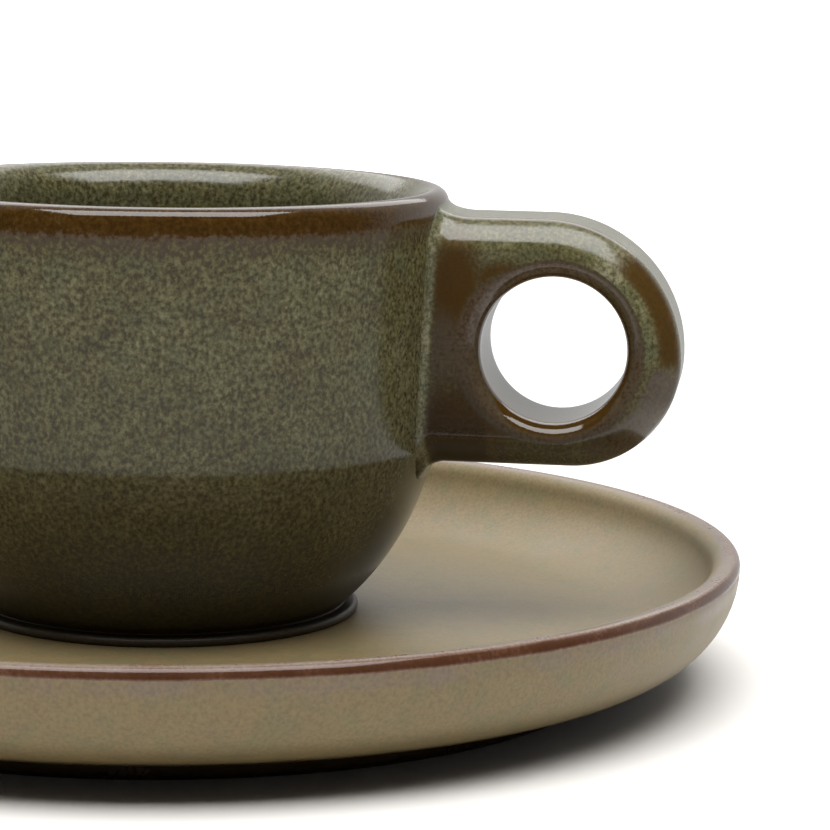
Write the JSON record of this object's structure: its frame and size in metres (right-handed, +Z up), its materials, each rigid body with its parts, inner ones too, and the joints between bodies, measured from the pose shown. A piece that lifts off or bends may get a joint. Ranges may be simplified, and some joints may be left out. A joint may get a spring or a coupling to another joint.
{
  "type": "espresso cup with saucer",
  "caption": "Small stoneware cup with a round ring handle, standing on a dished saucer with an upright rim.",
  "frame": {"origin": "middle of the saucer, on the table that its foot ring stands on", "axes": "+Z up along the axis of the cup and the saucer, +X towards the handle, +Y away from the viewer"},
  "size_m": [0.13, 0.13, 0.0547],
  "materials": {
    "cup_glaze": "satin reactive glaze, olive green breaking to brown",
    "saucer_glaze": "satin khaki glaze with a brown rim"
  },
  "bodies": {
    "saucer": {"saucer": "saucer_glaze"},
    "cup": {"cup_body": "cup_glaze", "handle": "cup_glaze"}
  },
  "joints": [
    {"name": "cup_lift", "type": "slide", "parent": "saucer", "child": "cup", "axis": [0, 0, 1], "range_m": [0, 0.06]}
  ]
}
